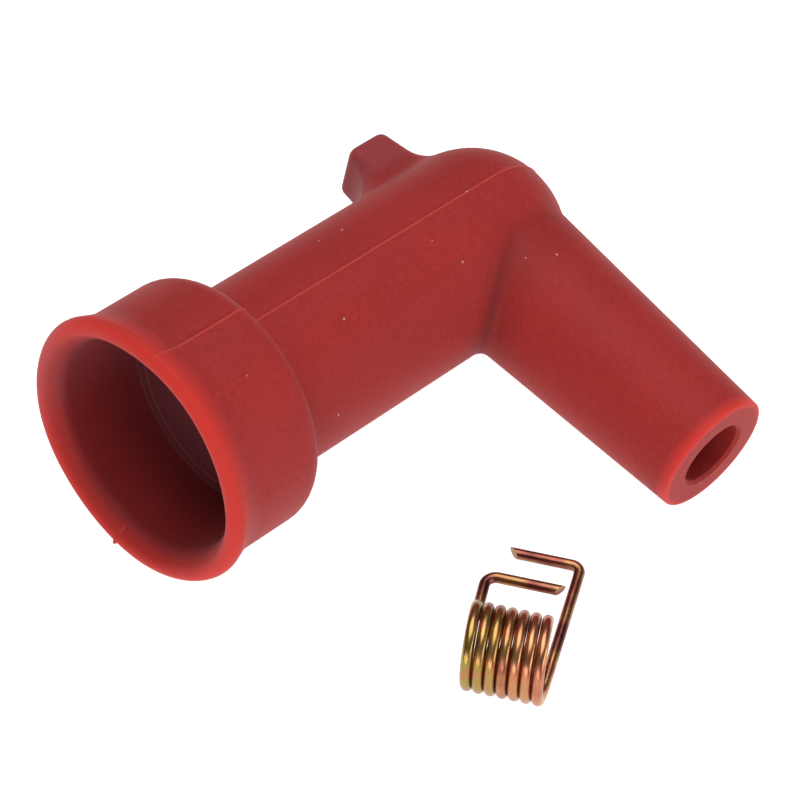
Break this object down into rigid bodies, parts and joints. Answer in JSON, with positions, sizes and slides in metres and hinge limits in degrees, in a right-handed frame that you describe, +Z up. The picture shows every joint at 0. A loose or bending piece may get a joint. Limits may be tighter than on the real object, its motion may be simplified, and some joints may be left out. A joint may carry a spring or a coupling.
{
  "type": "spark plug cap",
  "caption": "Right-angle silicone rubber spark plug boot with pull tab, and its wire contact spring taken out and laid beside it.",
  "frame": {"origin": "on the floor under the middle of the pair's bounding box", "axes": "+Z up from the floor; the boot's barrel runs along X with its mouth towards -X, its lead sleeve points to -Y"},
  "size_m": [0.0524, 0.0516, 0.0256],
  "materials": {
    "silicone": "satin moulded red",
    "plated_wire": "yellow zinc chromate plating"
  },
  "bodies": {
    "boot": {"elbow_boot": "silicone"},
    "spring": {"contact_spring": "plated_wire"}
  },
  "joints": [
    {"name": "spring_lift", "type": "slide", "parent": "boot", "child": "spring", "axis": [0, 0, 1], "range_m": [0, 0.04]}
  ]
}
